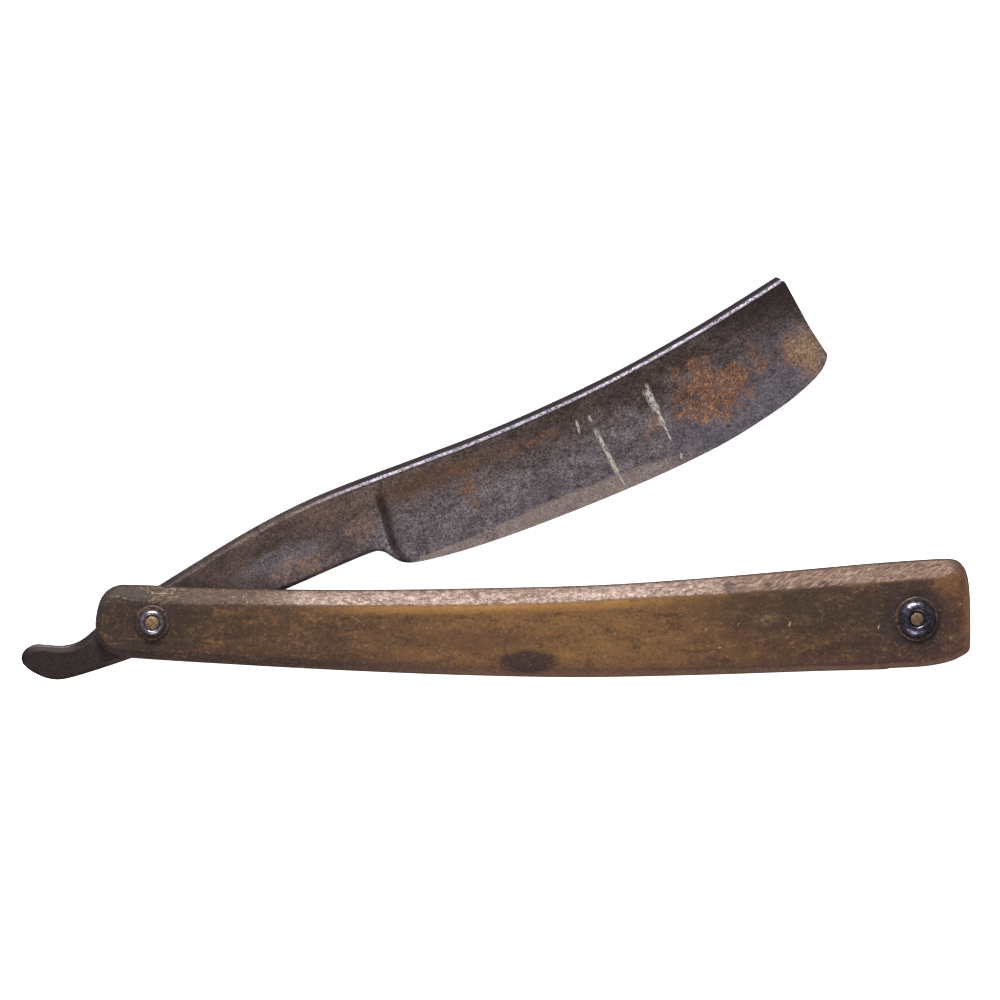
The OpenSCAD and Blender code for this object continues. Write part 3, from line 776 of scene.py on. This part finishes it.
def forged_steel(name):
    """Old blade steel: pitted and rusty, bare where it is honed, and along the spine's edge partly rubbed
    bare and partly painted with highlight and shade.
    """
    f = Finish(name, centre=(0, 0, MIDDLE), turn=OPEN)
    down, honed, inland = (f.attribute(a) for a in ("down", "honed", "inland"))
    smear = f.noise(3.4, 8, 0.68, stretch=(0.7, 1, 1), wobble=0.5)
    blotch = f.noise(1.3, 6, 0.75, wobble=0.3)
    pits = f.noise(0.5, 5, 0.8)
    salt = f.noise(0.26, 3, 0.85)
    drawn = f.noise(0.3, 3, 0.6, where=f.combed(6, 30))
    coarse = pits * 0.5 + blotch * 0.5

    # Brownish near the spine and bluish near the edge, darker towards the toe's back and the tail
    tone = smear * 0.25 + blotch * 0.2 + pits * 0.2 + salt * 0.35
    warm = f.colours(tone, (0.41, rgb(50, 39, 35)), (0.485, rgb(100, 83, 77)), (0.56, rgb(158, 138, 130)),
                     (0.62, rgb(204, 190, 184)))
    cool = f.colours(tone, (0.41, rgb(62, 53, 56)), (0.485, rgb(110, 100, 104)), (0.56, rgb(156, 145, 150)),
                     (0.62, rgb(200, 192, 198)))
    f.colour = f.mix(warm, cool, f.ramp(down + smear * 8, 8, 14))
    near_edge = f.ramp(down, 11, 16) * f.ramp(f.x, 86, 98)
    f.paint(rgb(112, 106, 118), near_edge * (drawn * 1.6 - 0.3))
    shade = (f.ramp(down, 10, 2) * f.ramp(f.x, 50, 78) + f.ramp(f.x, 98, 114) * f.ramp(down, 17, 11) * 0.55
             + f.ramp(f.x, 18, 2) + f.ramp(f.x, -6, -14) * 0.4)
    f.paint(rgb(44, 34, 36), shade * (0.35 + smear * 0.4))
    pepper = f.ramp(f.noise(0.36, 3, 0.78), 0.48, 0.4) * f.ramp(blotch, 0.38, 0.54)
    f.paint(rgb(38, 29, 28), pepper * 0.8)
    f.paint(rgb(52, 40, 40), f.ramp(blotch, 0.44, 0.36) * 0.6)
    brown = f.ramp(smear * 0.5 + blotch * 0.5, 0.5, 0.58) * f.ramp(down, 12, 3) * f.band(f.x, 4, 76, 18)
    behind_heel = f.blot(51, 5.6, 10, 2, 0.5, 0.8, 2) * f.ramp(pits, 0.4, 0.6)
    f.paint(rgb(96, 66, 48), brown * 0.5 + behind_heel * 0.8)
    blue = f.blot(24, 2.4, 7, 1.6, 0.5, 0.9, 2) * f.ramp(salt, 0.42, 0.56)
    f.paint(rgb(136, 132, 142), blue * 0.75)

    rust = 0
    for x, y, rx, ry, strength in RUST:
        rust = f.blot(x, y, rx, ry, 0.5, 1.3, 3) * strength + rust
    rust = f.ramp(rust * f.ramp(coarse, 0.36, 0.54), 0, 0.95)
    flakes = f.noise(0.28, 4, 0.85, where=f.combed(50, 1.25)) * 0.75 + blotch * 0.25
    orange = f.colours(flakes, (0.43, rgb(54, 35, 30)), (0.49, rgb(94, 60, 43)), (0.54, rgb(136, 88, 55)),
                       (0.59, rgb(180, 126, 78)), (0.66, rgb(224, 178, 128)))
    f.paint(orange, rust * (0.5 + f.ramp(f.x, 40, 52) * 0.35))
    tan = f.blot(117, 3, 2.6, 4, 0.6, 0.7, 2)
    f.paint(f.colours(flakes, (0.42, rgb(86, 60, 48)), (0.52, rgb(150, 116, 86)), (0.62, rgb(218, 182, 140))),
            tan * 0.8)

    # The honed strip, with one pitted place
    strip = (f.ramp(honed + (blotch - 0.5) * 0.5 + (salt - 0.5) * 0.3, 1.08, 0.92) * f.ramp(f.x, 43.5, 46)
             * f.ramp(f.x, 97, 86))
    pitted = f.blot(56.7, -6.2, 1.6, 1, 0.6, 1, 0.8) * f.ramp(pits, 0.52, 0.46)
    bright = f.colours(salt * 0.6 + blotch * 0.4, (0.4, rgb(142, 124, 118)), (0.52, rgb(176, 156, 148)),
                       (0.64, rgb(214, 196, 188)))
    f.paint(bright, strip * (0.85 - pepper * 0.5 - pitted * 0.8))

    front = f.ramp(f.z, -0.1, 0.1)
    streaks = f.ramp(f.noise(0.16, 3, 0.7, where=f.combed(-84, 10)) * 0.7 + salt * 0.3, 0.44, 0.52) * front
    for scratch in BLADE_SCRATCHES:
        f.paint(rgb(226, 218, 206), f.scratch(*scratch) * streaks * 0.95)

    # Painted shade in the heel's corner, dirt on the shank, and the spine's edges, dark with a pale line
    # between
    # Painted shade beside the step where the grind begins at the heel
    heel = f.ramp(inland, -0.3, 0.1) * f.ramp(inland, 3, 0.2) * f.ramp(down, 2, 5)
    f.paint(rgb(32, 24, 25), heel * 0.7)
    # A pale line along the crown, partly rubbed bare and partly a painted highlight where the key light
    # mirrors in it
    rubbed = (f.band(down + (pits - 0.5) * 0.25 + (smear - 0.5) * 0.3, 0.88, 1.32, 0.26) * f.ramp(f.x, 26, 46)
              * f.ramp(salt * 0.5 + pits * 0.5, 0.4, 0.5))
    ground = f.ramp(f.x, 24, 44)
    shank = f.ramp(f.x, 42, 34) * f.ramp(down, 1.2, 2)
    f.paint(rgb(78, 60, 54), shank * (0.5 - blue * 0.4 - rust * 0.4))
    # The crown on each side of that line is painted dark: dark patina and painted shade that keep the line
    # crisp
    f.paint(rgb(44, 36, 38), f.ramp(down, 1.75, 1.45) * (0.3 + ground * 0.4))
    f.paint(rgb(48, 40, 42), f.ramp(down, 1, 0.8) * (0.3 + ground * 0.55))
    f.paint(f.colours(coarse, (0.4, rgb(98, 92, 102)), (0.55, rgb(166, 160, 172))), rubbed)
    # A painted highlight along the spine's top edge, broken up by specks
    f.paint(rgb(104, 95, 102), f.ramp(down, 0.26, 0.1) * f.ramp(f.x, -1, 3) * (salt * 1.6 - 0.1))

    # The tail, dark, with a painted highlight along its upper edge
    f.paint(rgb(38, 31, 34), f.ramp(f.x, -8, -13) * (0.35 + pepper * 0.5))
    tail_edge_highlight = f.band(down, 0.16, 0.42, 0.2) * f.band(f.x, -20, -14, 4) * f.ramp(salt, 0.38, 0.56)
    f.paint(rgb(136, 128, 136), tail_edge_highlight * 0.8)

    height = pits * (0.08 - rubbed * 0.07) + salt * 0.04 + blotch * 0.08
    return f.done(f.colour, Metallic=0.7 - rust * 0.6 - tan * 0.4 + rubbed * 0.3,
                  Roughness=0.42 + pits * 0.2 + rust * 0.25 - strip * 0.1, Normal=f.bump(height, 0.8))


def dark_steel(name, centre, shine):
    """Collar steel, from blued to bare as shine goes from 0 to 1."""
    f = Finish(name, centre=centre)
    pits = f.noise(0.5, 5, 0.7)
    salt = f.noise(0.15, 3, 0.7)
    tone = pits * 0.7 + salt * 0.3
    bare = f.colours(tone, (0.38, rgb(96, 86, 92)), (0.5, rgb(160, 150, 164)), (0.62, rgb(214, 206, 218)))
    blued = f.colours(tone, (0.38, rgb(52, 44, 50)), (0.5, rgb(82, 76, 92)), (0.64, rgb(130, 126, 142)))
    return f.done(f.mix(blued, bare, shine), Metallic=0.95, Roughness=0.18 + pits * 0.2,
                  Normal=f.bump(pits * 0.03, 0.5))


def stained_steel(name, centre):
    f = Finish(name, centre=centre)
    pits = f.noise(0.5, 5, 0.75)
    colour = f.colours(pits, (0.38, rgb(44, 32, 30)), (0.5, rgb(74, 54, 48)), (0.62, rgb(112, 88, 76)))
    return f.done(colour, Metallic=0.35, Roughness=0.34 + pits * 0.25, Normal=f.bump(pits * 0.06, 0.7))


def old_brass(name, centre, dull):
    f = Finish(name, centre=centre)
    pits = f.noise(0.4, 5, 0.7)
    bright = f.colours(pits, (0.35, rgb(96, 72, 50)), (0.55, rgb(152, 122, 88)), (0.7, rgb(178, 150, 116)))
    return f.done(f.mix(bright, rgb(84, 70, 56), dull), Metallic=0.4, Roughness=0.45 + pits * 0.2,
                  Normal=f.bump(pits * 0.05, 0.7))


# ---------------------------------------------------------------------------------------------------------
# The razor

# For each pin: its place, half the gap there, the collars' section, the base washers' radius and how bare the
# collars are. For its heads: the seed of their hammer marks and how dull they are.
PINS = {"pivot": (PIVOT, PIVOT_GAP, PIVOT_DOME, 2.9, 1.0),
        "wedge": (WEDGE_PIN, WEDGE_GAP, WEDGE_DOME, 3.7, 0.1)}
HEADS = {"pivot": (2.9, 0.05), "wedge": (3.7, 0.5)}
BASE_SEED, COLLAR_SEED, HEAD_RISE = 7, 3, 0.35

studio()
for front in (True, False):
    side = "front" if front else "rear"
    scale(side + "_horn", horn(side + "_horn", front), front)
    for pin_name, (at, gap, dome, base_r, shine) in PINS.items():
        label, centre = f"{side}_{pin_name}", (*at, MIDDLE)
        base_washer(label + "_base", stained_steel(label + "_stain", centre), front, at, gap, base_r,
                    label + "_base_washer", BASE_SEED + front)
        collar(label + "_dome", dark_steel(label + "_steel", centre, shine), front, at, gap, dome,
               label + "_collar", COLLAR_SEED + front)
for pin_name, (seed, dull) in HEADS.items():
    at, gap, dome = PINS[pin_name][:3]
    height = max(p[1] for p in dome)
    pin(pin_name + "_rod", old_brass(pin_name + "_brass", (*at, MIDDLE), dull), at,
        gap + SCALE_THICK + BASE_T + height / 2, height * HEAD_RISE, pin_name + "_pin", seed)
blade(forged_steel("forged_steel"))

# The wedge and the thrust washers keep their CAD shapes
washer_brass = old_brass("washer_brass", (*PIVOT, MIDDLE), 0)
for node, material in (("wedge", plain_horn("wedge_horn")), ("front_thrust_washer", washer_brass),
                       ("rear_thrust_washer", washer_brass)):
    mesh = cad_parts[node].data
    mesh.materials.clear()
    mesh.materials.append(material)
